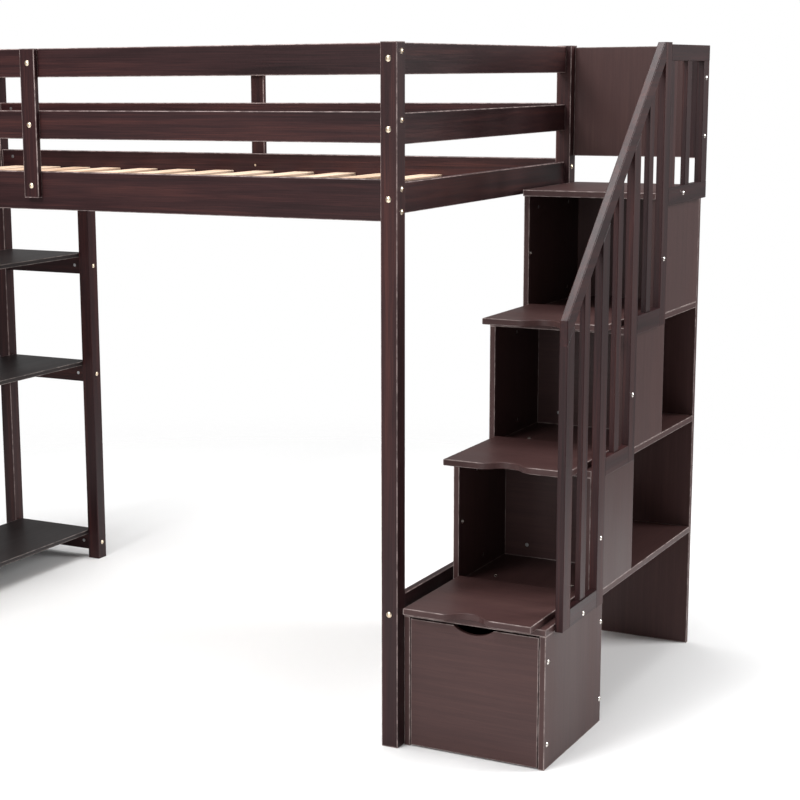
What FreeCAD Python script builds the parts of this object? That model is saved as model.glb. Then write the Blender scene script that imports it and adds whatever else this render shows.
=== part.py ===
# Twin loft bed with a storage stair, a shelf tower, a stair handrail and one drawer.
# Millimetres, +Z up, +X towards the stair, +Y towards the back.
# Sizes are laid out from the outer corner of the front right post: x runs to the left end as
# negative, y runs to the back, z from the floor. The shift cells then move everything so that
# the model's origin is the middle of its bounding box at floor level.
import FreeCAD, Part
import Sketcher
import math
import os
import re

Vector = FreeCAD.Vector

doc = FreeCAD.newDocument("stair_loft_bed")
sheet = doc.addObject("Spreadsheet::Sheet", "sizes")

driving = {
    # whole bed
    "shift_x": 816.5, "shift_y": -546.0,
    "bed_length": 2010, "bed_width": 1100, "post_side": 42, "post_height": 1638,
    "post_round": 2.5, "rail_round": 2.5, "panel_round": 1.5, "slat_round": 2.0,
    # guard rails, side rails and the low stretcher
    "rail_thick": 18, "rail_inset": 15.5, "rail_tall": 70, "side_rail_tall": 95,
    "top_rail_base": 1566, "side_middle_base": 1415, "end_middle_base": 1411,
    "side_rail_base": 1240, "end_lower_base": 1256, "stretcher_base": 290,
    "middle_board_wide": 44, "middle_board_base": 1270,
    "front_board_centre": 1021, "rear_board_centre": 1008,
    # slats and the ledgers under them
    "slat_wide": 66, "slat_thick": 14, "slat_top": 1284, "slat_play": 1.5,
    "first_slat": 110, "slat_pitch": 139, "end_slat_pitch": 117,
    "ledger_wide": 20, "ledger_tall": 25,
    # shelf tower at the left end
    "tower_bay": 299, "shelf_thick": 13, "shelf_inset": 10, "cross_rail_tall": 55,
    "low_shelf_top": 93, "middle_shelf_top": 657, "high_shelf_top": 1009,
    # stair boxes
    "stair_left": 3, "stair_wide": 355, "panel_thick": 15, "board_thick": 16,
    "first_box_tall": 318, "box_tall": 296, "stair_rear": 1085,
    "box_a_front": 30, "box_a_rear": 396, "box_b_front": 303, "box_b_rear": 606,
    "box_c_front": 517, "box_c_rear": 819, "box_d_front": 731,
    "landing_front": 723,
    # treads
    "tread_wide": 318, "tread_deep": 312, "tread_thick": 16, "tread_side": 17,
    "tread_a_front": -11, "tread_b_front": 206, "tread_c_front": 430,
    "scallop_wide": 136, "scallop_deep": 31,
    # drawer and its runners
    "drawer_gap": 2, "drawer_front_thick": 12, "drawer_foot": 3, "drawer_head": 4,
    "drawer_side_thick": 12, "drawer_side_play": 1.5, "drawer_long": 330,
    "drawer_floor_thick": 6, "drawer_floor_rise": 8, "drawer_groove": 5,
    "runner_thick": 14, "runner_tall": 24, "runner_base": 46, "kicker_base": 243,
    "runner_play": 0.6, "pull_radius": 81, "pull_deep": 22,
    # handrail and side guard
    "hand_thick": 19, "hand_post_wide": 45, "hand_base": 315, "hand_rail_tall": 45,
    "hand_post_a": 85, "hand_post_b": 302, "hand_post_c": 506, "hand_post_d": 720,
    "hand_slope": 0.973, "hand_drop": 57, "hand_foot": 973,
    "baluster_wide": 34, "baluster_thick": 13,
    "guard_rear": 1077, "guard_base": 1238, "guard_foot_tall": 43,
    "guard_head_base": 1593, "guard_head_tall": 40, "guard_panel_base": 1342,
    "guard_cleat": 20, "guard_cleat_deep": 40,
    # fasteners
    "bolt_head": 14, "bolt_rise": 3, "bolt_shank": 7, "bolt_long": 92,
    "panel_head": 12, "panel_rise": 3, "panel_shank": 6, "hole_play": 0.5,
    "socket_wide": 5, "socket_deep": 1.8, "barrel": 10, "barrel_long": 16, "barrel_set": 42,
    "tower_barrel_set": 26, "cross_bolt_step": 16, "side_bolt_spread": 51, "middle_bolt_rise": 30,
    "runner_bolt_set": 4.6, "wall_bolt_inset": 77, "guard_bolt_y": 885,
    "end_bolt_set": 22, "wall_bolt_grip": 30, "board_bolt_grip": 40, "guard_low_bolt_rise": 58,
    "guard_high_bolt_drop": 43, "blind_end": 3, "runner_blind_end": 2, "thin_blind_end": 1,
    "tower_bolt_past": 7,
    "flush_bolt_past": 5, "bore_past": 1,
    "panel_barrel_long": 12, "panel_barrel_set": 32, "flush_a": 190, "flush_b": 410,
    "flush_c": 656, "flush_d": 792, "flush_e": 1008, "flush_f": 454, "flush_g": 668,
}

for row, (alias, amount) in enumerate(driving.items(), start=1):
    sheet.set(f"A{row}", alias)
    sheet.set(f"B{row}", str(amount))
    sheet.setAlias(f"B{row}", alias)
doc.recompute()


def value(alias):
    return float(sheet.get(alias))


def bound(text):
    return re.sub(r"[a-z][a-z_]+", lambda word: "sizes." + word.group(0), str(text))


def bind(target, **cells):
    for prop, text in cells.items():
        target.setExpression(prop.replace("__", "."), bound(text))


def put(target, x, y, z):
    bind(target, Placement__Base__x=f"shift_x + {x}", Placement__Base__y=f"shift_y + {y}",
         Placement__Base__z=z)


parts = {}
rounded = []


def newBody(name, plane):
    body = doc.addObject("PartDesign::Body", name)
    sketch = body.newObject("Sketcher::SketchObject", name + "_sketch")
    planes = {feature.Role: feature for feature in body.Origin.OriginFeatures}
    sketch.AttachmentSupport = [(planes[plane], "")]
    sketch.MapMode = "FlatFace"
    return body, sketch


def closeLoop(sketch, corners):
    count = len(corners)
    for index in range(count):
        line = Part.LineSegment(Vector(*corners[index], 0), Vector(*corners[(index + 1) % count], 0))
        sketch.addGeometry(line, False)
    for index in range(count):
        sketch.addConstraint(Sketcher.Constraint("Coincident", index, 2, (index + 1) % count, 1))
    sketch.addConstraint(Sketcher.Constraint("Coincident", 0, 1, -1, 1))


def limit(sketch, kind, curve, text, start=10.0, point=1):
    # distance of one point of a line or arc from the sketch's origin, driven by the sheet
    number = sketch.addConstraint(Sketcher.Constraint(kind, -1, 1, curve, point, start))
    sketch.setExpression(f"Constraints[{number}]", bound(text))


def finishPad(body, sketch, name, thick, place, along, radius, reverse=False):
    pad = body.newObject("PartDesign::Pad", name + "_pad")
    pad.Profile = sketch
    pad.Reversed = reverse
    bind(pad, Length=thick)
    put(body, *place)
    rounded.append((body, pad, along, radius))
    parts[name] = body


def board(name, size, place, along, radius):
    # a board is a padded rectangle with its long edges rounded
    body, sketch = newBody(name, "XY_Plane")
    closeLoop(sketch, [(0, 0), (10, 0), (10, 10), (0, 10)])
    for line, kind in enumerate(("Horizontal", "Vertical", "Horizontal", "Vertical")):
        sketch.addConstraint(Sketcher.Constraint(kind, line))
    limit(sketch, "DistanceX", 2, size[0])
    limit(sketch, "DistanceY", 2, size[1])
    finishPad(body, sketch, name, size[2], place, along, radius)


def outline(name, corners, place, thick, radius):
    # a board in the handrail's plane, with a side outline whose first corner is its origin
    body, sketch = newBody(name, "YZ_Plane")
    start = [(10.0 * math.cos(turn), 10.0 * math.sin(turn)) for turn in
             (2 * math.pi * index / len(corners) for index in range(len(corners)))]
    closeLoop(sketch, start)
    for index, (across, up) in enumerate(corners[1:], start=1):
        limit(sketch, "DistanceX", index, across)
        limit(sketch, "DistanceY", index, up)
    finishPad(body, sketch, name, thick, place, "outline x", radius)


def tread(name, place):
    # a flat board whose front edge dips back in three equal arcs, tangent to each other
    width, deep = value("tread_wide"), value("tread_deep")
    half, dip = value("scallop_wide") / 2, value("scallop_deep")
    curve = (half**2 + dip**2) / (4 * dip)
    turn = math.asin(half / (2 * curve))
    middle = width / 2
    body, sketch = newBody(name, "XY_Plane")
    up, down = Vector(0, 0, 1), -math.pi / 2
    first = Part.Circle(Vector(middle - half, curve, 0), up, curve)
    second = Part.Circle(Vector(middle, dip - curve, 0), up, curve)
    third = Part.Circle(Vector(middle + half, curve, 0), up, curve)
    corners = [Vector(0, 0, 0), Vector(middle - half, 0, 0), Vector(middle + half, 0, 0),
               Vector(width, 0, 0), Vector(width, deep, 0), Vector(0, deep, 0)]
    sketch.addGeometry([Part.LineSegment(corners[0], corners[1]),
                        Part.ArcOfCircle(first, down, down + turn),
                        Part.ArcOfCircle(second, -down - turn, -down + turn),
                        Part.ArcOfCircle(third, down - turn, down),
                        Part.LineSegment(corners[2], corners[3]),
                        Part.LineSegment(corners[3], corners[4]),
                        Part.LineSegment(corners[4], corners[5]),
                        Part.LineSegment(corners[5], corners[0])], False)
    joins = ((0, 2, 1, 1), (1, 2, 2, 2), (2, 1, 3, 1), (3, 2, 4, 1))
    for join in joins:
        sketch.addConstraint(Sketcher.Constraint("Tangent", *join))
    for line in (4, 5, 6):
        sketch.addConstraint(Sketcher.Constraint("Coincident", line, 2, line + 1, 1))
    sketch.addConstraint(Sketcher.Constraint("Coincident", 7, 2, 0, 1))
    sketch.addConstraint(Sketcher.Constraint("Coincident", 0, 1, -1, 1))
    for line, kind in ((0, "Horizontal"), (4, "Horizontal"), (5, "Vertical"), (6, "Horizontal"),
                       (7, "Vertical")):
        sketch.addConstraint(Sketcher.Constraint(kind, line))
    limit(sketch, "DistanceX", 6, "tread_wide", width)
    limit(sketch, "DistanceY", 6, "tread_deep", deep)
    limit(sketch, "DistanceX", 1, "(tread_wide - scallop_wide)/2", middle - half)
    limit(sketch, "DistanceX", 4, "(tread_wide + scallop_wide)/2", middle + half)
    sketch.addConstraint(Sketcher.Constraint("Equal", 1, 2))
    sketch.addConstraint(Sketcher.Constraint("Equal", 2, 3))
    number = sketch.addConstraint(Sketcher.Constraint("Radius", 2, curve))
    sketch.setExpression(f"Constraints[{number}]",
                         bound("(scallop_wide^2/4 + scallop_deep^2)/(4*scallop_deep)"))
    finishPad(body, sketch, name, "tread_thick", place, "outline z", "rail_round")


def pullPanel(name, place):
    # the drawer's front: a flat board with a shallow round finger pull cut into its top edge
    wide = "stair_wide - 2*panel_thick - 2*drawer_gap"
    tall = "first_box_tall - drawer_foot - drawer_head"
    width = value("stair_wide") - 2 * value("panel_thick") - 2 * value("drawer_gap")
    height = value("first_box_tall") - value("drawer_foot") - value("drawer_head")
    radius = value("pull_radius")
    body, sketch = newBody(name, "XZ_Plane")
    centre = Vector(width / 2, height + value("drawer_head") - value("pull_deep") + radius, 0)
    rise = centre.y - height
    half = math.sqrt(radius**2 - rise**2)
    turn = math.asin(rise / radius)
    corners = [Vector(0, 0, 0), Vector(width, 0, 0), Vector(width, height, 0),
               Vector(centre.x + half, height, 0), Vector(centre.x - half, height, 0),
               Vector(0, height, 0)]
    circle = Part.Circle(centre, Vector(0, 0, 1), radius)
    sketch.addGeometry([Part.LineSegment(corners[0], corners[1]),
                        Part.LineSegment(corners[1], corners[2]),
                        Part.LineSegment(corners[2], corners[3]),
                        Part.ArcOfCircle(circle, math.pi + turn, 2 * math.pi - turn),
                        Part.LineSegment(corners[4], corners[5]),
                        Part.LineSegment(corners[5], corners[0])], False)
    for join in ((0, 2, 1, 1), (1, 2, 2, 1), (2, 2, 3, 2), (3, 1, 4, 1), (4, 2, 5, 1), (5, 2, 0, 1),
                 (0, 1, -1, 1)):
        sketch.addConstraint(Sketcher.Constraint("Coincident", *join))
    for line, kind in ((0, "Horizontal"), (1, "Vertical"), (2, "Horizontal"), (4, "Horizontal"),
                       (5, "Vertical")):
        sketch.addConstraint(Sketcher.Constraint(kind, line))
    limit(sketch, "DistanceX", 1, wide, width, 2)
    limit(sketch, "DistanceY", 1, tall, height, 2)
    limit(sketch, "DistanceY", 4, tall, height, 2)
    limit(sketch, "DistanceX", 3, f"({wide})/2", centre.x, 3)
    limit(sketch, "DistanceY", 3, f"{tall} + drawer_head - pull_deep + pull_radius", centre.y, 3)
    number = sketch.addConstraint(Sketcher.Constraint("Radius", 3, radius))
    sketch.setExpression(f"Constraints[{number}]", bound("pull_radius"))
    finishPad(body, sketch, name, "drawer_front_thick", place, "outline y", "panel_round", True)


def span(low, high):
    return f"({high}) - ({low})"


def group(name, members):
    # several separate solids kept under one name
    bunch = doc.addObject("Part::Compound", name)
    bunch.Links = [parts.pop(member) for member in members]
    parts[name] = bunch
    return bunch


def cutBy(name, tool):
    whole = doc.addObject("Part::Cut", name + "_cut")
    whole.Base = parts[name]
    whole.Tool = tool
    parts[name].Label = name + "_blank"
    parts[name] = whole


# corner posts, in the order front right, front left, rear right, rear left
for depth, depth_place in (("front", "0"), ("rear", "bed_width - post_side")):
    for side, side_place in (("right", "-post_side"), ("left", "-bed_length")):
        board(f"{depth}_{side}_corner_post", ("post_side", "post_side", "post_height"),
              (side_place, depth_place, "0"), "z", "post_round")

# rails along both long sides
side_rails = (("top_guard_rail", "top_rail_base", "rail_tall"),
              ("middle_guard_rail", "side_middle_base", "rail_tall"),
              ("side_rail", "side_rail_base", "side_rail_tall"))
for depth, depth_place in (("front", "rail_inset"), ("rear", "bed_width - rail_inset - rail_thick")):
    for rail, base, tall in side_rails:
        board(f"{depth}_{rail}", ("bed_length - 2*post_side", "rail_thick", tall),
              ("post_side - bed_length", depth_place, base), "x", "rail_round")

# rails across both ends
end_rails = (("top_rail", "top_rail_base"), ("middle_rail", "end_middle_base"),
             ("lower_rail", "end_lower_base"))
for side, side_place in (("right", "-rail_inset - rail_thick"), ("left", "rail_inset - bed_length")):
    for rail, base in end_rails:
        board(f"{side}_end_{rail}", ("rail_thick", "bed_width - 2*post_side", "rail_tall"),
              (side_place, "post_side", base), "y", "rail_round")
group("left_end_rails", [f"left_end_{rail}" for rail, base in end_rails])
board("right_end_low_stretcher", ("rail_thick", "bed_width - 2*post_side", "rail_tall"),
      ("-rail_inset - rail_thick", "post_side", "stretcher_base"), "y", "rail_round")

# upright boards that tie the long rails together at mid length, outside the rails
middle_board_tall = "top_rail_base + rail_tall - middle_board_base"
board("front_middle_board", ("middle_board_wide", "rail_inset", middle_board_tall),
      ("-front_board_centre - middle_board_wide/2", "0", "middle_board_base"), "z", "panel_round")
board("rear_middle_board", ("middle_board_wide", "rail_inset", middle_board_tall),
      ("-rear_board_centre - middle_board_wide/2", "bed_width - rail_inset", "middle_board_base"),
      "z", "panel_round")

# ledgers inside the side rails, and the slats that lie on them
inner_front = "rail_inset + rail_thick"
inner_rear = "bed_width - rail_inset - rail_thick"
for depth, depth_place in (("front", inner_front), ("rear", inner_rear + " - ledger_wide")):
    board(f"{depth}_ledger", ("bed_length - 2*post_side", "ledger_wide", "ledger_tall"),
          ("post_side - bed_length", depth_place, "slat_top - slat_thick - ledger_tall"), "x", "panel_round")
group("slat_ledgers", ["front_ledger", "rear_ledger"])
slat_count = 14
even_slats = 11
for index in range(slat_count):
    even = min(index, even_slats - 1)
    place = f"-first_slat - slat_wide - {even}*slat_pitch - {index - even}*end_slat_pitch"
    board(f"slat_{index + 1}", ("slat_wide", f"{inner_rear} - rail_inset - rail_thick - 2*slat_play",
                                "slat_thick"),
          (place, inner_front + " + slat_play", "slat_top - slat_thick"), "y", "slat_round")
group("bed_slats", [f"slat_{index + 1}" for index in range(slat_count)])

# shelf tower: two inner posts, three shelves and a cross rail under each shelf's front and back
for depth, depth_place in (("front", "0"), ("rear", "bed_width - post_side")):
    board(f"{depth}_tower_post", ("post_side", "post_side", "side_rail_base"),
          ("post_side + tower_bay - bed_length", depth_place, "0"), "z", "post_round")
group("tower_posts", ["front_tower_post", "rear_tower_post"])
shelf_tops = (("low", "low_shelf_top"), ("middle", "middle_shelf_top"), ("high", "high_shelf_top"))
for level, top in shelf_tops:
    board(f"{level}_shelf", ("tower_bay", "bed_width - 2*shelf_inset", "shelf_thick"),
          ("post_side - bed_length", "shelf_inset", f"{top} - shelf_thick"), "x", "panel_round")
    for depth, depth_place in (("front", "(post_side - rail_thick)/2"),
                               ("rear", "bed_width - (post_side + rail_thick)/2")):
        board(f"{level}_{depth}_cross_rail", ("tower_bay", "rail_thick", "cross_rail_tall"),
              ("post_side - bed_length", depth_place, f"{top} - shelf_thick - cross_rail_tall"),
              "x", "rail_round")
group("shelf_cross_rails", [f"{level}_{depth}_cross_rail" for level, top in shelf_tops
                            for depth in ("front", "rear")])

# stair boxes a to d, each a pair of side panels; boxes b and c have a back wall of their own
first_top = "first_box_tall"
level_bases = {"a": first_top, "b": f"{first_top} + board_thick + box_tall",
               "c": f"{first_top} + 2*(board_thick + box_tall)",
               "d": f"{first_top} + 3*(board_thick + box_tall)"}
box_bases = {"a": "0", "b": f"{level_bases['a']} + board_thick",
             "c": f"{level_bases['b']} + board_thick", "d": f"{level_bases['c']} + board_thick"}
box_rears = {"a": "box_a_rear", "b": "box_b_rear", "c": "box_c_rear", "d": "stair_rear"}
panel_sides = (("left", "stair_left"), ("right", "stair_left + stair_wide - panel_thick"))
level_names = {"a": "first", "b": "second", "c": "third", "d": "fourth"}
for box, base in box_bases.items():
    tall = "first_box_tall" if box == "a" else "box_tall"
    front = f"box_{box}_front"
    for side, side_place in panel_sides:
        board(f"{level_names[box]}_step_{side}_panel", ("panel_thick", f"{box_rears[box]} - {front}", tall),
              (side_place, front, base), "z", "panel_round")
    if box != "d":
        board(f"{level_names[box]}_step_back_wall", ("stair_wide - 2*panel_thick", "panel_thick", tall),
              ("stair_left + panel_thick", f"{box_rears[box]} - panel_thick", base), "z", "panel_round")
        board(f"{level_names[box]}_level_board", ("stair_wide", f"stair_rear - {front}", "board_thick"),
              ("stair_left", front, level_bases[box]), "y", "panel_round")
board("landing", ("stair_wide", "bed_width - landing_front", "board_thick"),
      ("stair_left", "landing_front", level_bases["d"]), "x", "panel_round")
board("stair_rear_panel", ("stair_wide", "panel_thick", level_bases["d"]),
      ("stair_left", "stair_rear", "0"), "z", "panel_round")

# treads: one pattern three times, each with a shallow scallop in the middle of its front edge
for box in "abc":
    tread(f"{level_names[box]}_tread",
          ("stair_left + tread_side", f"tread_{box}_front", f"{level_bases[box]} + board_thick"))

# drawer under the first step
drawer_inner = "stair_left + panel_thick"
drawer_wide = "stair_wide - 2*panel_thick"
drawer_base = "runner_base + runner_tall + runner_play"
drawer_tall = "kicker_base - runner_base - runner_tall - 2*runner_play"
drawer_back_place = "box_a_front + drawer_front_thick"
pullPanel("drawer_front", (f"{drawer_inner} + drawer_gap", "box_a_front", "drawer_foot"))
for side, side_place in (("left", f"{drawer_inner} + drawer_side_play"),
                         ("right", f"{drawer_inner} + {drawer_wide} - drawer_side_play - drawer_side_thick")):
    board(f"drawer_{side}_side", ("drawer_side_thick", "drawer_long", drawer_tall),
          (side_place, drawer_back_place, drawer_base), "y", "panel_round")
box_wide = f"{drawer_wide} - 2*drawer_side_play - 2*drawer_side_thick"
box_left = f"{drawer_inner} + drawer_side_play + drawer_side_thick"
floor_base = f"{drawer_base} + drawer_floor_rise"
board("drawer_back", (box_wide, "drawer_side_thick",
                      f"{drawer_tall} - drawer_floor_rise - drawer_floor_thick"),
      (box_left, f"{drawer_back_place} + drawer_long - drawer_side_thick",
       f"{floor_base} + drawer_floor_thick"), "x", "panel_round")
board("drawer_bottom", (f"{box_wide} + 2*drawer_groove", "drawer_long", "drawer_floor_thick"),
      (f"{box_left} - drawer_groove", drawer_back_place, floor_base), None, None)
runner_front = f"{drawer_back_place} + runner_play"
for side, side_place in (("left", drawer_inner),
                         ("right", f"{drawer_inner} + {drawer_wide} - runner_thick")):
    for rail, base in (("runner", "runner_base"), ("kicker", "kicker_base")):
        board(f"{side}_{rail}",
              ("runner_thick", span(runner_front, "box_a_rear - panel_thick"), "runner_tall"),
              (side_place, runner_front, base), "y", "panel_round")
group("drawer_runners", [f"{side}_{rail}" for side in ("left", "right") for rail in ("runner", "kicker")])

# handrail: posts and balusters stand outside the right hand panels, under one sloping rail
rail_plane = "stair_left + stair_wide"
thin_plane = f"{rail_plane} + (hand_thick - baluster_thick)/2"


def underSlope(y):
    return f"hand_foot + hand_slope*({y} - hand_post_a)"


def slopedUpright(name, y, width, base, plane, thick):
    short = f"{underSlope(y)} - ({base})"
    tall = f"{underSlope(f'{y} + {width}')} - ({base})"
    outline(name, [("0", "0"), (width, "0"), (width, tall), ("0", short)], (plane, y, base),
            thick, "panel_round")


rise = "(board_thick + box_tall)"
group_bases = ("hand_base", f"hand_base + {rise}", f"hand_base + 2*{rise}")
for letter, base in zip("abc", (group_bases[0], group_bases[0], group_bases[1])):
    slopedUpright(f"hand_post_{letter}_upright", f"hand_post_{letter}", "hand_post_wide", base,
                  rail_plane, "hand_thick")
group("handrail_lower_posts", [f"hand_post_{letter}_upright" for letter in "abc"])
board("handrail_top_post", ("hand_thick", "hand_post_wide", span(group_bases[2], "post_height")),
      (rail_plane, "hand_post_d", group_bases[2]), "z", "panel_round")
for front, rear, base in zip("abc", "bcd", group_bases):
    gap_front = f"hand_post_{front} + hand_post_wide"
    board(f"foot_rail_{front}", ("hand_thick", span(gap_front, f"hand_post_{rear}"), "hand_rail_tall"),
          (rail_plane, gap_front, base), "y", "panel_round")
    middle = f"(hand_post_{front} + hand_post_{rear} + hand_post_wide - baluster_wide)/2"
    slopedUpright(f"baluster_{front}", middle, "baluster_wide",
                  f"{base} + hand_rail_tall", thin_plane, "baluster_thick")
group("handrail_foot_rails", [f"foot_rail_{front}" for front in "abc"])
group("handrail_balusters", [f"baluster_{front}" for front in "abc"])
rail_run = "hand_post_d - hand_post_a"
outline("handrail_sloping_rail",
        [("0", "0"), (rail_run, f"hand_slope*({rail_run})"), (rail_run, "post_height - hand_foot"),
         ("(post_height - hand_foot - hand_drop)/hand_slope", "post_height - hand_foot"), ("0", "hand_drop")],
        (rail_plane, "hand_post_a", "hand_foot"), "hand_thick", "rail_round")

# side guard beside the landing, behind the handrail's top post
guard_front = "hand_post_d + hand_post_wide"
guard_long = "guard_rear - hand_post_d - hand_post_wide"
for rail, base, tall in (("foot", "guard_base", "guard_foot_tall"),
                         ("head", "guard_head_base", "guard_head_tall")):
    board(f"side_guard_{rail}", ("hand_thick", guard_long, tall),
          (rail_plane, guard_front, base), "y", "panel_round")
guard_middle = f"({guard_front} + guard_rear)/2"
upright_tall = "guard_head_base - guard_base - guard_foot_tall"
for upright, place, wide, plane, thick in (
        ("front", guard_front, "hand_post_wide", rail_plane, "hand_thick"),
        ("middle", f"{guard_middle} - baluster_wide/2", "baluster_wide", thin_plane, "baluster_thick"),
        ("rear", "guard_rear - hand_post_wide", "hand_post_wide", rail_plane, "hand_thick")):
    board(f"side_guard_{upright}", (thick, wide, upright_tall),
          (plane, place, "guard_base + guard_foot_tall"), "z", "panel_round")
group("side_guard_rails", ["side_guard_foot", "side_guard_head"])
group("side_guard_uprights", ["side_guard_front", "side_guard_middle", "side_guard_rear"])

# closed guard panel behind the landing, and the cleat that joins it to the side guard
guard_panel_tall = "guard_head_base + guard_head_tall - guard_panel_base"
board("rear_guard_panel", (rail_plane, "panel_thick", guard_panel_tall),
      ("0", "stair_rear", "guard_panel_base"), "z", "panel_round")
board("guard_corner_cleat", ("guard_cleat", "guard_cleat_deep", guard_panel_tall),
      (f"{rail_plane} - guard_cleat", "stair_rear - guard_cleat_deep", "guard_panel_base"),
      "z", "panel_round")

doc.recompute()

# round the long edges; an outlined board is rounded along its outline on both faces instead
along_axis = {"x": Vector(1, 0, 0), "y": Vector(0, 1, 0), "z": Vector(0, 0, 1)}


def isAlong(edge, axis):
    return abs(edge.tangentAt(edge.FirstParameter).dot(axis)) > 0.999


for body, pad, along, radius in rounded:
    if along is None:
        continue
    axis = along_axis[along[-1]]
    across = along.startswith("outline")
    names = [f"Edge{index}" for index, edge in enumerate(pad.Shape.Edges, start=1)
             if isAlong(edge, axis) != across]
    fillet = body.newObject("PartDesign::Fillet", body.Name + "_fillet")
    fillet.Base = (pad, names)
    bind(fillet, Radius=radius)
doc.recompute()


# grooves that hold the drawer's bottom
groove = doc.addObject("Part::Feature", "drawer_groove_tool")
groove.Shape = parts["drawer_bottom"].Shape.copy()
for side in ("left", "right"):
    cutBy(f"drawer_{side}_side", groove)
group("drawer_sides", ["drawer_left_side", "drawer_right_side"])

# fasteners: each line holds a seat point, the way the bolt's head faces and its shank's length
length, depth, post = value("bed_length"), value("bed_width"), value("post_side")
inset, thick, tall = value("rail_inset"), value("rail_thick"), value("rail_tall")
right, left, back = Vector(1, 0, 0), Vector(-1, 0, 0), Vector(0, 1, 0)
forward, upward, downward = Vector(0, -1, 0), Vector(0, 0, 1), Vector(0, 0, -1)
shift = Vector(value("shift_x"), value("shift_y"), 0)
bolt_long, barrel_set = value("bolt_long"), value("barrel_set")
rail_depth = inset + thick / 2
frame_lines = []
barrel_lines = []


# bolts through the posts' front and back faces into the end rails
end_bolt_x = value("end_bolt_set")
end_heights = [value(base) + tall / 2 for base in
               ("top_rail_base", "end_middle_base", "end_lower_base", "stretcher_base")]
for facing, seat_y in ((forward, 0), (back, depth)):
    for side, heights in ((-1, end_heights), (-2, end_heights[:3])):
        for height in heights:
            x = -end_bolt_x if side == -1 else end_bolt_x - length
            inward = left if side == -1 else right
            seat = Vector(x, seat_y, height)
            frame_lines.append((seat, facing, bolt_long))
            rail_x = -rail_depth if side == -1 else rail_depth - length
            nut = Vector(rail_x, seat_y, height) - facing * (post + barrel_set) + inward * (thick / 2)
            barrel_lines.append((nut, inward, value("barrel_long")))

# bolts through the posts' outer side faces into the long rails
step = value("cross_bolt_step")
side_middle = value("side_rail_base") + value("side_rail_tall") / 2
side_spread = value("side_bolt_spread") / 2
side_heights = [value("top_rail_base") + tall / 2 + step, value("side_middle_base") + tall / 2 + step,
                side_middle + side_spread, side_middle - side_spread]
# the rear right post has only the side rail's two
for facing, seat_x in ((right, 0), (left, -length)):
    for seat_y, inward in ((rail_depth, back), (depth - rail_depth, forward)):
        rear_right_post = facing == right and inward == forward
        for height in side_heights[2:] if rear_right_post else side_heights:
            seat = Vector(seat_x, seat_y, height)
            frame_lines.append((seat, facing, bolt_long))
            nut = seat - facing * (post + barrel_set) + inward * (thick / 2)
            barrel_lines.append((nut, inward, value("barrel_long")))

# short bolts through the middle boards and the long rails
board_heights = (value("top_rail_base") + tall / 2, value("side_middle_base") + tall / 2,
                 value("middle_board_base") + value("middle_bolt_rise"))
for facing, seat_y, centre in ((forward, 0, "front_board_centre"), (back, depth, "rear_board_centre")):
    for height in board_heights:
        seat = Vector(-value(centre), seat_y, height)
        frame_lines.append((seat, facing, inset + thick - value("thin_blind_end")))

# bolts through the tower posts and the left corner posts into the cross rails
bay = value("tower_bay")
tower_set = value("tower_barrel_set")
for top in ("low_shelf_top", "middle_shelf_top", "high_shelf_top"):
    height = value(top) - value("shelf_thick") - value("cross_rail_tall") / 2
    for seat_y in (post / 2, depth - post / 2):
        for facing, seat_x in ((right, 2 * post + bay - length), (left, -length)):
            seat = Vector(seat_x, seat_y, height)
            frame_lines.append((seat, facing, post + tower_set + value("tower_bolt_past")))
            nut = seat - facing * (post + tower_set) + forward * (thick / 2)
            barrel_lines.append((nut, forward, value("barrel_long")))

# bolts of the first step's box: into the drawer's runners in front, the back wall behind
inner, outer = value("stair_left"), value("stair_left") + value("stair_wide")
panel, plank = value("panel_thick"), value("board_thick")
runner_grip = panel + value("runner_thick") - value("runner_blind_end")
runner_y = value("box_a_front") + value("drawer_front_thick") + value("runner_bolt_set")
panel_lines = []
for facing, seat_x in ((right, outer), (left, inner)):
    for base in ("runner_base", "kicker_base"):
        height = value(base) + value("runner_tall") / 2
        panel_lines.append((Vector(seat_x, runner_y, height), facing, runner_grip))
        wall_y = value("box_a_rear") - panel / 2
        panel_lines.append((Vector(seat_x, wall_y, height), facing, panel + value("wall_bolt_grip")))

# bolts down through the level boards into the back walls under them
box_rise = plank + value("box_tall")
first = value("first_box_tall")
wall_inset = value("wall_bolt_inset")
for level, rear in enumerate(("box_a_rear", "box_b_rear", "box_c_rear")):
    top = first + level * box_rise + plank
    for x in (inner + wall_inset, outer - wall_inset):
        seat = Vector(x, value(rear) - panel / 2, top)
        panel_lines.append((seat, upward, plank + value("board_bolt_grip")))

# bolts of the handrail: one in each post above a level board, one in the lowest foot rail,
# the same bolt inside the left panels of the second and fourth boxes, and the side guard's
hand = value("hand_thick")
hand_seat = outer + hand
hand_wide = value("hand_post_wide")
hand_grip = hand + value("board_bolt_grip")
blind_end = value("blind_end")
post_bolts = [value(f"hand_post_{letter}") + hand_wide / 2 for letter in "bcd"]
box_middles = [first + level * box_rise + plank + value("box_tall") / 2 for level in range(3)]
for y, height in zip(post_bolts, box_middles):
    panel_lines.append((Vector(hand_seat, y, height), right, hand + panel - blind_end))
foot_bolt_y = (value("hand_post_a") + hand_wide + value("hand_post_b")) / 2
panel_lines.append((Vector(hand_seat, foot_bolt_y, first + plank / 2), right, hand_grip))
for y, height in zip(post_bolts[::2], box_middles[::2]):
    panel_lines.append((Vector(inner + panel, y, height), right, panel - value("thin_blind_end")))
landing_middle = first + 3 * box_rise + plank / 2
panel_lines.append((Vector(hand_seat, value("guard_bolt_y"), landing_middle), right, hand_grip))
for height in (value("guard_panel_base") + value("guard_low_bolt_rise"),
               value("guard_head_base") - value("guard_high_bolt_drop")):
    seat = Vector(hand_seat, value("guard_rear") - hand_wide / 2, height)
    panel_lines.append((seat, right, hand + value("guard_cleat") - blind_end))

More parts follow.
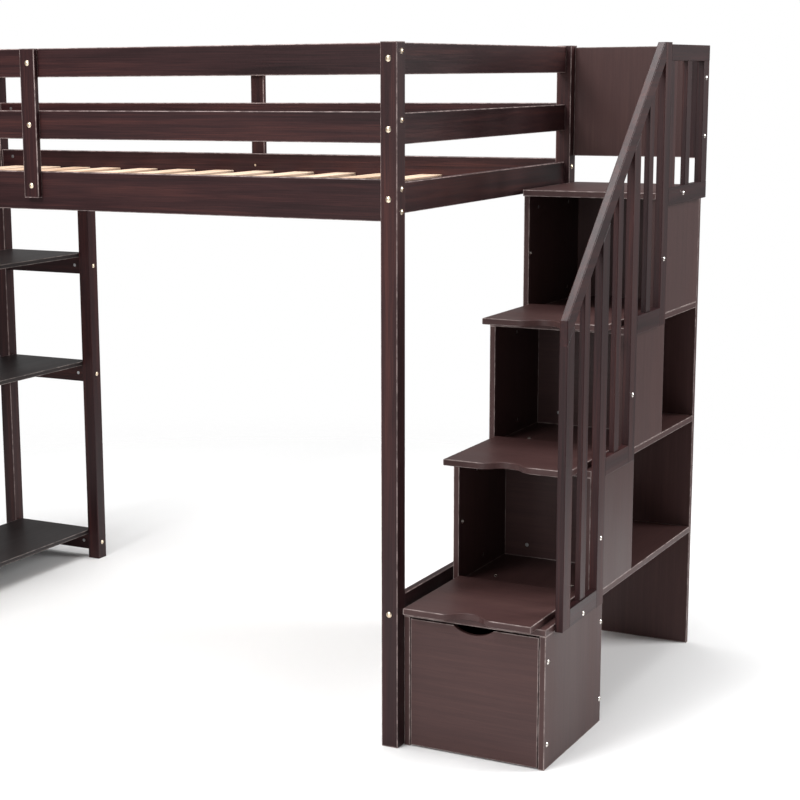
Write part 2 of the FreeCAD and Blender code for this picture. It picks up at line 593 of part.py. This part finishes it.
# flush bolts from the level boards into the side panels' ends, with barrel nuts that show inside
flush_lines = []
nut_set = value("panel_barrel_set")
flush_long = plank + nut_set + value("flush_bolt_past")
upper = {0: (value("flush_a"),), 1: (value("flush_b"),), 2: (value("flush_c"),),
         3: (value("flush_d"), value("flush_e"))}
lower = {1: value("flush_f"), 2: value("flush_g"), 3: value("flush_e")}
for level in range(4):
    floor = first + (level - 1) * box_rise + plank
    ceiling = first + level * box_rise
    for facing, inner_face in ((right, inner + panel), (left, outer - panel)):
        middle_x = inner_face - facing.x * panel / 2
        for y in upper[level]:
            flush_lines.append((Vector(middle_x, y, ceiling + plank), upward, flush_long))
            barrel_lines.append((Vector(inner_face, y, ceiling - nut_set), facing,
                                 value("panel_barrel_long")))
        if level in lower:
            y = lower[level]
            flush_lines.append((Vector(middle_x, y, floor - plank), downward, flush_long))
            barrel_lines.append((Vector(inner_face, y, floor + nut_set), facing,
                                 value("panel_barrel_long")))

# flush bolts up through the level boards into the feet of the back walls that stand on them
for level, rear in ((1, "box_b_rear"), (2, "box_c_rear")):
    floor = first + (level - 1) * box_rise + plank
    wall_front = value(rear) - panel
    for x in (inner + wall_inset, outer - wall_inset):
        flush_lines.append((Vector(x, wall_front + panel / 2, floor - plank), downward, flush_long))
        barrel_lines.append((Vector(x, wall_front, floor + nut_set), forward,
                             value("panel_barrel_long")))


def rod(seat, facing, radius, long):
    return Part.makeCylinder(radius, long, seat + shift, facing * -1)


def headedBolt(seat, facing, head, rise, shank, long):
    # a low domed head with a six-sided socket, over a plain shank
    dome = (head**2 + rise**2) / (2 * rise)
    ball = Part.makeSphere(dome, seat + shift + facing * (rise - dome))
    cap = ball.common(Part.makeCylinder(head, rise, seat + shift, facing))
    key = Part.makePolygon([Vector(math.cos(turn), math.sin(turn), 0) * value("socket_wide") / math.sqrt(3)
                            for turn in (index * math.pi / 3 for index in range(7))])
    socket = Part.Face(key).extrude(Vector(0, 0, rise))
    socket.Placement = FreeCAD.Placement(seat + shift + facing * (rise - value("socket_deep")),
                                         FreeCAD.Rotation(upward, facing))
    return cap.fuse(rod(seat, facing, shank, long)).removeSplitter().cut(socket)


def feature(name, shapes):
    solids = doc.addObject("Part::Feature", name)
    solids.Shape = Part.makeCompound(shapes)
    return solids


bolt_half, panel_half = value("bolt_shank") / 2, value("panel_shank") / 2
play = value("hole_play") / 2
barrel = value("barrel") / 2
bore_past = value("bore_past")
least_overlap = 0.01
parts["frame_bolts"] = feature("frame_bolts", [
    headedBolt(seat, facing, value("bolt_head") / 2, value("bolt_rise"), bolt_half, long)
    for seat, facing, long in frame_lines])
parts["panel_bolts"] = feature("panel_bolts", [
    headedBolt(seat, facing, value("panel_head") / 2, value("panel_rise"), panel_half, long)
    for seat, facing, long in panel_lines] + [rod(seat, facing, panel_half, long)
                                              for seat, facing, long in flush_lines])
bolt_holes = [rod(seat, facing, bolt_half + play, long + bore_past)
              for seat, facing, long in frame_lines]
bolt_holes += [rod(seat, facing, panel_half + play, long + bore_past)
               for seat, facing, long in panel_lines + flush_lines]
barrels = [rod(seat, facing, barrel, long) for seat, facing, long in barrel_lines]

# barrel nuts, bored by the bolts that pass through them
doc.recompute()


def nearby(shape, tools):
    return [tool for tool in tools if shape.BoundBox.intersect(tool.BoundBox)
            and shape.common(tool).Volume > least_overlap]


bored = []
for nut in barrels:
    passing = nearby(nut, bolt_holes)
    bored.append(nut.cut(passing) if passing else nut)
parts["barrel_nuts"] = feature("barrel_nuts", bored)

# bore every wooden part that a bolt or a barrel nut goes into
fittings = ("frame_bolts", "panel_bolts", "barrel_nuts")
for name in list(parts):
    tools = nearby(parts[name].Shape, bolt_holes + barrels) if name not in fittings else []
    if tools:
        cutBy(name, feature(name + "_bores", tools))
doc.recompute()

for item in doc.Objects:
    if "Invalid" in item.State or "Error" in item.State:
        raise RuntimeError(f"{item.Name} failed: {item.State}")
os.makedirs("parts", exist_ok=True)
for name, item in parts.items():
    item.Label = name
    shape = item.Shape
    if shape.isNull() or not shape.isValid() or not shape.Solids:
        raise RuntimeError(f"{name} has no valid shape")
    shape.exportStep(os.path.join("parts", name + ".step"))
    print(f"{name}: {len(shape.Solids)} solid(s), {shape.Volume / 1000:.1f} cm3")
print(len(parts), "parts")
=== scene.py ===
# Looks of a twin loft bed with a storage stair: dark stained wood, pale slats, brass and nickel bolts.
# Metres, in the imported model's own frame.
import math
import bpy
from mathutils import Matrix, Vector


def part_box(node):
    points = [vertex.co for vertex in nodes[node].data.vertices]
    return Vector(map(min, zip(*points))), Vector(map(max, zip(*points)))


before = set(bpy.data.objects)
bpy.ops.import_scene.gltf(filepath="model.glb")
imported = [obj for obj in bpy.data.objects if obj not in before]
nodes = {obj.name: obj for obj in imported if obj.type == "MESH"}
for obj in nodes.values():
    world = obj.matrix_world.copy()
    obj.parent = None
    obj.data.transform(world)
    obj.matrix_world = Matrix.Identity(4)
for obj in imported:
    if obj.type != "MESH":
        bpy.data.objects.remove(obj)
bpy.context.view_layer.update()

bpy.ops.object.select_all(action="DESELECT")
print("loaded", len(nodes), "nodes")


class Reading:
    # an output of a node: arithmetic on it adds Math nodes
    def __init__(self, paint, socket):
        self.paint = paint
        self.socket = socket

    def maths(self, operation, first, second):
        return self.paint.node("ShaderNodeMath", {"operation": operation}, {0: first, 1: second})

    def __add__(self, other):
        return self.maths("ADD", self, other)

    def __radd__(self, other):
        return self.maths("ADD", other, self)

    def __sub__(self, other):
        return self.maths("SUBTRACT", self, other)

    def __rsub__(self, other):
        return self.maths("SUBTRACT", other, self)

    def __mul__(self, other):
        return self.maths("MULTIPLY", self, other)

    def __rmul__(self, other):
        return self.maths("MULTIPLY", other, self)


class Paint:
    # a material that is built node by node
    def __init__(self, name):
        self.material = bpy.data.materials.new(name)
        self.material.use_nodes = True
        self.tree = self.material.node_tree
        self.tree.nodes.clear()

    def node(self, kind, settings=None, inputs=None, output=0):
        made = self.tree.nodes.new(kind)
        for setting, choice in (settings or {}).items():
            if setting == "stops":
                self.setStops(made.color_ramp.elements, choice)
            else:
                setattr(made, setting, choice)
        for socket, given in (inputs or {}).items():
            if isinstance(given, Reading):
                self.tree.links.new(given.socket, made.inputs[socket])
            else:
                made.inputs[socket].default_value = given
        return Reading(self, made.outputs[output])

    def setStops(self, elements, stops):
        while len(elements) < len(stops):
            elements.new(0.5)
        for element, (place, colour) in zip(elements, stops):
            element.position = place
            element.color = (*colour, 1)

    def mix(self, share, first, second):
        settings = {"data_type": "RGBA"}
        return self.node("ShaderNodeMix", settings, {0: share, 6: first, 7: second}, 2)

    def spread(self, reading, low, high, bottom=0.0, top=1.0):
        # smooth step from bottom at low to top at high
        settings = {"interpolation_type": "SMOOTHSTEP"}
        return self.node("ShaderNodeMapRange", settings,
                         {"Value": reading, "From Min": low, "From Max": high,
                          "To Min": bottom, "To Max": top})

    def stretched(self, scale, move=(0, 0, 0), turn=(0, 0, 0)):
        place = self.node("ShaderNodeTexCoord", output="Object")
        return self.node("ShaderNodeMapping", {},
                         {"Vector": place, "Location": move, "Rotation": turn, "Scale": scale})

    def noise(self, vector, scale=1.0, detail=3.0, roughness=0.5, distortion=0.0):
        return self.node("ShaderNodeTexNoise", {},
                         {"Vector": vector, "Scale": scale, "Detail": detail,
                          "Roughness": roughness, "Distortion": distortion})

    def finish(self, inputs, bump=None):
        if bump:
            height, strength, deep = bump
            inputs["Normal"] = self.node("ShaderNodeBump", {},
                                         {"Height": height, "Strength": strength, "Distance": deep})
        shader = self.node("ShaderNodeBsdfPrincipled", {}, inputs)
        return self.show(shader)

    def show(self, shader):
        output = self.tree.nodes.new("ShaderNodeOutputMaterial")
        self.tree.links.new(shader.socket, output.inputs["Surface"])
        return self.material


def along(axis, lengthwise, across):
    # a scale that is low along the grain and high across it
    return tuple(lengthwise if index == axis else across for index in range(3))


# each finish's lighter edge colour is partly real wear and partly a painted highlight for the gloss on
# rounded edges
finishes = {
    # solid stained wood of the frame, posts and handrail
    "stain": {"dark": (0.011, 0.0038, 0.0044), "mid": (0.027, 0.0092, 0.0100),
              "red": (0.066, 0.0210, 0.0180), "wearAndHighlight": (0.50, 0.39, 0.37), "wearAndHighlightShare": 0.75,
              "fibres": 520, "fibreRun": 7, "bands": 42, "bandRun": 1.1, "contrast": 1.0,
              "rough": (0.36, 0.52), "coat": 0.04, "gloss": 0.20, "bump": 0.16},
    # smooth boards of the stair
    "board": {"dark": (0.034, 0.0158, 0.0152), "mid": (0.053, 0.0250, 0.0238),
              "red": (0.080, 0.0390, 0.0345), "wearAndHighlight": (0.46, 0.38, 0.36), "wearAndHighlightShare": 0.65,
              "fibres": 820, "fibreRun": 16, "bands": 95, "bandRun": 2.4, "contrast": 0.55,
              "rough": (0.38, 0.50), "coat": 0.03, "gloss": 0.22, "bump": 0.10},
    # greyer boards of the shelf tower
    "shelf": {"dark": (0.012, 0.0094, 0.0096), "mid": (0.020, 0.0152, 0.0154),
              "red": (0.032, 0.023, 0.022), "wearAndHighlight": (0.34, 0.29, 0.27), "wearAndHighlightShare": 0.6,
              "fibres": 560, "fibreRun": 10, "bands": 55, "bandRun": 1.4, "contrast": 0.7,
              "rough": (0.36, 0.48), "coat": 0.03, "gloss": 0.2, "bump": 0.10},
    # raw pine of the slats
    "pine": {"dark": (0.47, 0.30, 0.19), "mid": (0.66, 0.48, 0.35),
             "red": (0.76, 0.60, 0.47), "wearAndHighlight": (0.82, 0.70, 0.58), "wearAndHighlightShare": 0.3,
             "fibres": 260, "fibreRun": 4, "bands": 70, "bandRun": 1.5, "contrast": 1.2,
             "rough": (0.50, 0.68), "coat": 0.0, "gloss": 0.35, "bump": 0.25},
}
# what every wood shares: seeds, the noises' makeup, their weights, pores, and edges lightened partly as
# wear and partly as a painted highlight
noiseMean = 0.5
grain = {"step": 3.71, "drift": (1.0, 0.61, 0.37), "turn": 0.012,
         "fibre": {"detail": 4, "roughness": 0.6},
         "band": {"detail": 3, "roughness": 0.55, "distortion": 0.7},
         "fibreShare": 0.75, "bandShare": 0.85, "cloudShare": 0.55,
         "cloudRun": 1.3, "clouds": 6, "poreRun": 55, "pores": 1900,
         "poreRange": (0.60, 0.74), "poreTint": 0.45,
         "stops": ((0.22, "dark"), (0.52, "mid"), (0.86, "red")),
         "roughFibre": 0.6, "roughRange": (0.25, 0.80), "coatRough": 0.22,
         "fibreHeight": 0.6, "bandHeight": 0.4, "poreHeight": 0.5, "bumpDeep": 0.0006}
# mask of the lighter edges: patchy real wear plus a painted highlight along the edges
edgeWearAndHighlight = {"patches": 38, "noise": {"detail": 4, "roughness": 0.65}, "wander": 0.0016,
        "fade": (0.0008, 0.0028), "patchRange": (0.38, 0.66), "least": 0.25}


def edgeGap(paint, low, high):
    # the middle one of the three distances to the faces of a box: small only along its edges
    place = paint.node("ShaderNodeTexCoord", output="Object")
    parts = paint.tree.nodes.new("ShaderNodeSeparateXYZ")
    paint.tree.links.new(place.socket, parts.inputs[0])
    gaps = []
    for axis in range(3):
        reading = Reading(paint, parts.outputs[axis])
        gaps.append(reading.maths("MINIMUM", reading - low[axis], high[axis] - reading))
    first, second, third = gaps
    small = first.maths("MINIMUM", first, second)
    large = first.maths("MAXIMUM", first, second)
    return small.maths("MAXIMUM", small, large.maths("MINIMUM", large, third))


def stainedWood(name, finish, axis, index, edges=None):
    style = finishes[finish]
    paint = Paint(name)
    move = tuple(index * grain["step"] * part for part in grain["drift"])
    turn = tuple(grain["turn"] * (1 if (index + side) % 2 else -1) for side in range(3))
    fibres = paint.noise(paint.stretched(along(axis, style["fibreRun"], style["fibres"]), move, turn),
                         **grain["fibre"])
    bands = paint.noise(paint.stretched(along(axis, style["bandRun"], style["bands"]), move, turn),
                        **grain["band"])
    cloud = paint.noise(paint.stretched(along(axis, grain["cloudRun"], grain["clouds"]), move), detail=2)
    pores = paint.noise(paint.stretched(along(axis, grain["poreRun"], grain["pores"]), move, turn),
                        detail=2)
    tone = ((fibres - noiseMean) * grain["fibreShare"] + (bands - noiseMean) * grain["bandShare"]
            + (cloud - noiseMean) * grain["cloudShare"])
    tone = tone * style["contrast"] + noiseMean
    stops = [(place, style[shade]) for place, shade in grain["stops"]]
    base = paint.node("ShaderNodeValToRGB", {"stops": stops}, {"Fac": tone})
    poreMask = paint.spread(pores, *grain["poreRange"])
    base = paint.mix(poreMask * grain["poreTint"], base, (*style["dark"], 1))
    # lighten the edges toward the edge colour: partly wear, partly a painted highlight
    if edges:
        wearAndHighlightPatches = paint.noise(paint.stretched((edgeWearAndHighlight["patches"],) * 3, move), **edgeWearAndHighlight["noise"])
        gap = edgeGap(paint, *edges) + (wearAndHighlightPatches - noiseMean) * edgeWearAndHighlight["wander"]
        wornAndHighlitEdge = paint.spread(gap, *edgeWearAndHighlight["fade"], 1.0, 0.0)
        patchy = paint.spread(wearAndHighlightPatches, *edgeWearAndHighlight["patchRange"], edgeWearAndHighlight["least"], 1.0)
        base = paint.mix(wornAndHighlitEdge * patchy * style["wearAndHighlightShare"], base, (*style["wearAndHighlight"], 1))
    rough = paint.spread(cloud + (fibres - noiseMean) * grain["roughFibre"], *grain["roughRange"],
                         *style["rough"])
    height = (fibres * grain["fibreHeight"] + bands * grain["bandHeight"]
              - poreMask * grain["poreHeight"])
    return paint.finish({"Base Color": base, "Roughness": rough, "Coat Weight": style["coat"],
                         "Coat Roughness": grain["coatRough"], "Specular IOR Level": style["gloss"]},
                        (height, style["bump"], grain["bumpDeep"]))


metalLook = {"fine": 900, "patches": 55, "patchRange": (0.42, 0.72), "tarnish": 0.6,
             "fineShare": 0.5, "shineRange": (0.3, 0.75), "bump": 0.08, "bumpDeep": 0.0002}


def plating(name, colour, tarnish, rough):
    # bright plated metal with faint turning marks, finger marks and a darker tarnish
    paint = Paint(name)
    fine = paint.noise(paint.stretched((metalLook["fine"],) * 3), detail=2)
    patch = paint.noise(paint.stretched((metalLook["patches"],) * 3), detail=3, roughness=0.6)
    dulled = paint.spread(patch, *metalLook["patchRange"]) * metalLook["tarnish"]
    base = paint.mix(dulled, (*colour, 1), (*tarnish, 1))
    shine = paint.spread(patch + (fine - noiseMean) * metalLook["fineShare"],
                         *metalLook["shineRange"], *rough)
    return paint.finish({"Base Color": base, "Roughness": shine, "Metallic": 1.0},
                        (fine, metalLook["bump"], metalLook["bumpDeep"]))


# grain direction of the nodes where it isn't the longest side of their box
grainAxis = {"bed_slats": 1, "slat_ledgers": 0, "left_end_rails": 1, "tower_posts": 2,
             "shelf_cross_rails": 0, "handrail_lower_posts": 2, "handrail_foot_rails": 1,
             "handrail_balusters": 2, "side_guard_rails": 1, "side_guard_uprights": 2,
             "drawer_sides": 1, "drawer_runners": 1, "drawer_front": 0, "rear_guard_panel": 2,
             "first_step_left_panel": 2, "first_step_right_panel": 2,
             "second_step_left_panel": 2, "second_step_right_panel": 2,
             "third_step_left_panel": 2, "third_step_right_panel": 2,
             "fourth_step_left_panel": 2, "fourth_step_right_panel": 2,
             "handrail_sloping_rail": 1}
# nodes of several solids, or that don't fill their box: edge wear and painted edge highlight at the
# box's edges would miss them
plainEdged = ("bed_slats", "slat_ledgers", "left_end_rails", "tower_posts", "shelf_cross_rails",
          "handrail_lower_posts", "handrail_foot_rails", "handrail_balusters",
          "side_guard_rails", "side_guard_uprights", "drawer_sides", "drawer_runners",
          "handrail_sloping_rail", "handrail_top_post")
boardWords = ("panel", "wall", "level_board", "landing", "tread", "drawer")


def finishOf(name):
    if name == "bed_slats":
        return "pine"
    if name.endswith("_shelf"):
        return "shelf"
    return "board" if any(word in name for word in boardWords) else "stain"


metals = {
    "frame_bolts": plating("brass_plating", (0.84, 0.71, 0.55), (0.42, 0.31, 0.22), (0.26, 0.42)),
    "panel_bolts": plating("nickel_plating", (0.80, 0.76, 0.71), (0.44, 0.40, 0.37), (0.20, 0.36)),
    "barrel_nuts": plating("zinc_plating", (0.62, 0.62, 0.62), (0.34, 0.34, 0.35), (0.28, 0.45)),
}
for index, name in enumerate(sorted(nodes)):
    low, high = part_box(name)
    if name in metals:
        material = metals[name]
    else:
        size = high - low
        axis = grainAxis.get(name, max(range(3), key=lambda side: size[side]))
        edges = None if name in plainEdged else (low, high)
        material = stainedWood(name + "_wood", finishOf(name), axis, index, edges)
    mesh = nodes[name].data
    if not mesh.materials:
        mesh.materials.append(material)
    for slot in nodes[name].material_slots:
        slot.material = material
print("materials done")

# pale floor that fades into the white room
floorLook = {"wide": 60, "below": 0.0005, "clear": (1.7, 3.4),
             "colour": (0.86, 0.86, 0.86), "rough": 0.75, "gloss": 0.2}
bpy.ops.mesh.primitive_plane_add(size=floorLook["wide"], location=(0, 0, -floorLook["below"]))
floor = bpy.context.object
floor.name = "floor"
paint = Paint("pale_floor")
place = paint.node("ShaderNodeTexCoord", output="Object")
far = paint.node("ShaderNodeVectorMath", {"operation": "LENGTH"}, {0: place}, "Value")
fade = paint.spread(far, *floorLook["clear"])
solid = paint.node("ShaderNodeBsdfPrincipled", {},
                   {"Base Color": (*floorLook["colour"], 1), "Roughness": floorLook["rough"],
                    "Specular IOR Level": floorLook["gloss"]})
clear = paint.node("ShaderNodeBsdfTransparent")
shown = paint.node("ShaderNodeMixShader", {}, {0: fade, 1: solid, 2: clear})
floor.data.materials.append(paint.show(shown))

# soft studio light, every lamp aimed at the middle of the bed
middle = Vector((0.35, 0, 0.85))
lamps = {
    "front_lamp": {"place": (-1.0, -4.6, 4.6), "wide": 2.2, "power": 220},
    "fill_lamp": {"place": (0.5, -6.0, 1.3), "wide": 4.0, "power": 110},
    "right_lamp": {"place": (4.4, 1.9, 2.6), "wide": 2.0, "power": 165},
    "top_lamp": {"place": (0.2, -0.2, 4.8), "wide": 3.0, "power": 250},
}
for name, lamp in lamps.items():
    light = bpy.data.lights.new(name, "AREA")
    light.energy = lamp["power"]
    light.shape = "SQUARE"
    light.size = lamp["wide"]
    holder = bpy.data.objects.new(name, light)
    bpy.context.scene.collection.objects.link(holder)
    holder.location = lamp["place"]
    holder.rotation_mode = "QUATERNION"
    holder.rotation_quaternion = (middle - holder.location).to_track_quat("-Z", "Y")

room = {"seen": 1.0, "light": 0.32}
world = bpy.data.worlds.new("white_room")
bpy.context.scene.world = world
world.use_nodes = True
links = world.node_tree.links
background = world.node_tree.nodes["Background"]
background.inputs["Color"].default_value = (1, 1, 1, 1)
rays = world.node_tree.nodes.new("ShaderNodeLightPath")
level = world.node_tree.nodes.new("ShaderNodeMapRange")
level.inputs["To Min"].default_value = room["light"]
level.inputs["To Max"].default_value = room["seen"]
links.new(rays.outputs["Is Camera Ray"], level.inputs["Value"])
links.new(level.outputs[0], background.inputs["Strength"])
bpy.context.scene.view_settings.view_transform = "Standard"

view = {"place": (2.6078, -4.1410, 1.5700), "yaw": 0.50511, "pitch": 0.186235, "roll": -0.0086666,
        "lens": 80.593, "shift": (0.097846, 0.013414), "film": 36, "far": 100}
eye = bpy.data.cameras.new("viewpoint")
eye.lens = view["lens"]
eye.sensor_width = view["film"]
eye.shift_x, eye.shift_y = view["shift"]
eye.clip_end = view["far"]
camera = bpy.data.objects.new("viewpoint", eye)
bpy.context.scene.collection.objects.link(camera)
camera.matrix_world = (Matrix.Translation(view["place"]) @ Matrix.Rotation(view["yaw"], 4, "Z")
                       @ Matrix.Rotation(math.pi / 2 - view["pitch"], 4, "X")
                       @ Matrix.Rotation(view["roll"], 4, "Z"))
bpy.context.scene.camera = camera
print("stage, lamps and camera done")
